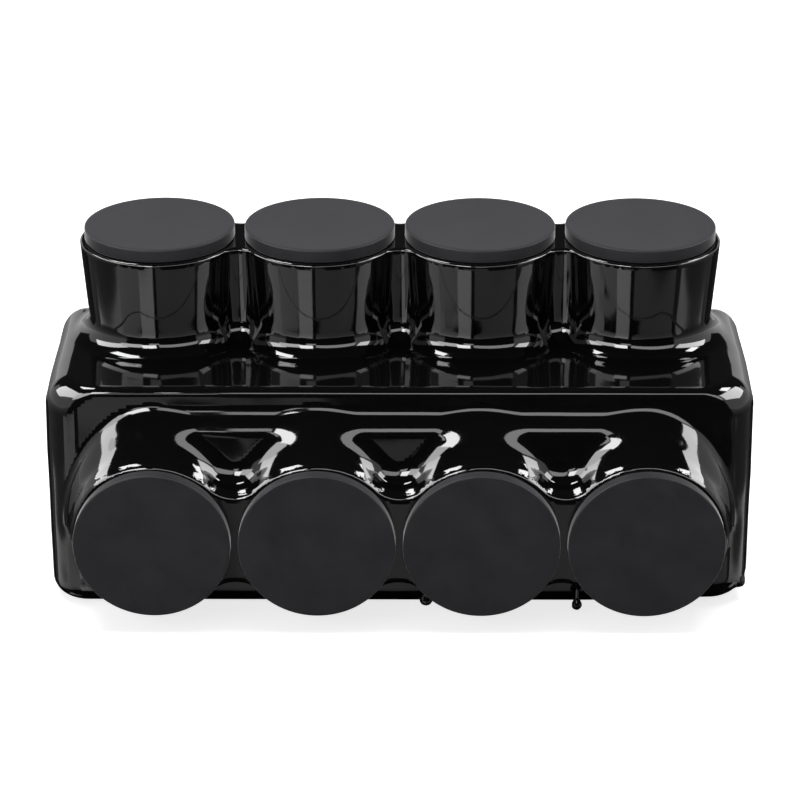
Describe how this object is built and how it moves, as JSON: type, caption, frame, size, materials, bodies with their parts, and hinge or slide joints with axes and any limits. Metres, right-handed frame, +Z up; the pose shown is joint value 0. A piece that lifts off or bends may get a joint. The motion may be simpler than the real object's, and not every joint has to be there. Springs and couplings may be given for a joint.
{
  "type": "insulated multi-tap connector",
  "caption": "Black vinyl-jacketed terminal block with a row of plugged conductor ports and a row of plugged set screw tubes, for splicing and tapping power conductors.",
  "frame": {"origin": "middle of the connector's footprint, on the plane it stands on", "axes": "X along the row of ports, -Y out of the conductor ports, +Z up out of the set screw tubes"},
  "size_m": [0.1294, 0.0527, 0.0648],
  "materials": {
    "jacket": "glossy dipped black vinyl",
    "plug": "matte dark grey soft moulded plug",
    "block": "machined and tin plated, satin",
    "screw": "turned and plated, satin"
  },
  "bodies": {
    "connector": {"insulation_jacket": "jacket", "terminal_block": "block"},
    "set_screw_1": {"set_screw_1": "screw"},
    "screw_plug_1": {"screw_plug_1": "plug"},
    "port_plug_1": {"port_plug_1": "plug"},
    "set_screw_2": {"set_screw_2": "screw"},
    "screw_plug_2": {"screw_plug_2": "plug"},
    "port_plug_2": {"port_plug_2": "plug"},
    "set_screw_3": {"set_screw_3": "screw"},
    "screw_plug_3": {"screw_plug_3": "plug"},
    "port_plug_3": {"port_plug_3": "plug"},
    "set_screw_4": {"set_screw_4": "screw"},
    "screw_plug_4": {"screw_plug_4": "plug"},
    "port_plug_4": {"port_plug_4": "plug"}
  },
  "joints": [
    {"name": "set_screw_1_drive", "type": "slide", "parent": "connector", "child": "set_screw_1", "axis": [0, 0, 1], "range_m": [-0.01429, 0]},
    {"name": "screw_plug_1_pull", "type": "slide", "parent": "connector", "child": "screw_plug_1", "axis": [0, 0, 1], "range_m": [0, 0.03]},
    {"name": "port_plug_1_pull", "type": "slide", "parent": "connector", "child": "port_plug_1", "axis": [0, -1, 0], "range_m": [0, 0.03]},
    {"name": "set_screw_2_drive", "type": "slide", "parent": "connector", "child": "set_screw_2", "axis": [0, 0, 1], "range_m": [-0.01429, 0]},
    {"name": "screw_plug_2_pull", "type": "slide", "parent": "connector", "child": "screw_plug_2", "axis": [0, 0, 1], "range_m": [0, 0.03]},
    {"name": "port_plug_2_pull", "type": "slide", "parent": "connector", "child": "port_plug_2", "axis": [0, -1, 0], "range_m": [0, 0.03]},
    {"name": "set_screw_3_drive", "type": "slide", "parent": "connector", "child": "set_screw_3", "axis": [0, 0, 1], "range_m": [-0.01429, 0]},
    {"name": "screw_plug_3_pull", "type": "slide", "parent": "connector", "child": "screw_plug_3", "axis": [0, 0, 1], "range_m": [0, 0.03]},
    {"name": "port_plug_3_pull", "type": "slide", "parent": "connector", "child": "port_plug_3", "axis": [0, -1, 0], "range_m": [0, 0.03]},
    {"name": "set_screw_4_drive", "type": "slide", "parent": "connector", "child": "set_screw_4", "axis": [0, 0, 1], "range_m": [-0.01429, 0]},
    {"name": "screw_plug_4_pull", "type": "slide", "parent": "connector", "child": "screw_plug_4", "axis": [0, 0, 1], "range_m": [0, 0.03]},
    {"name": "port_plug_4_pull", "type": "slide", "parent": "connector", "child": "port_plug_4", "axis": [0, -1, 0], "range_m": [0, 0.03]}
  ]
}
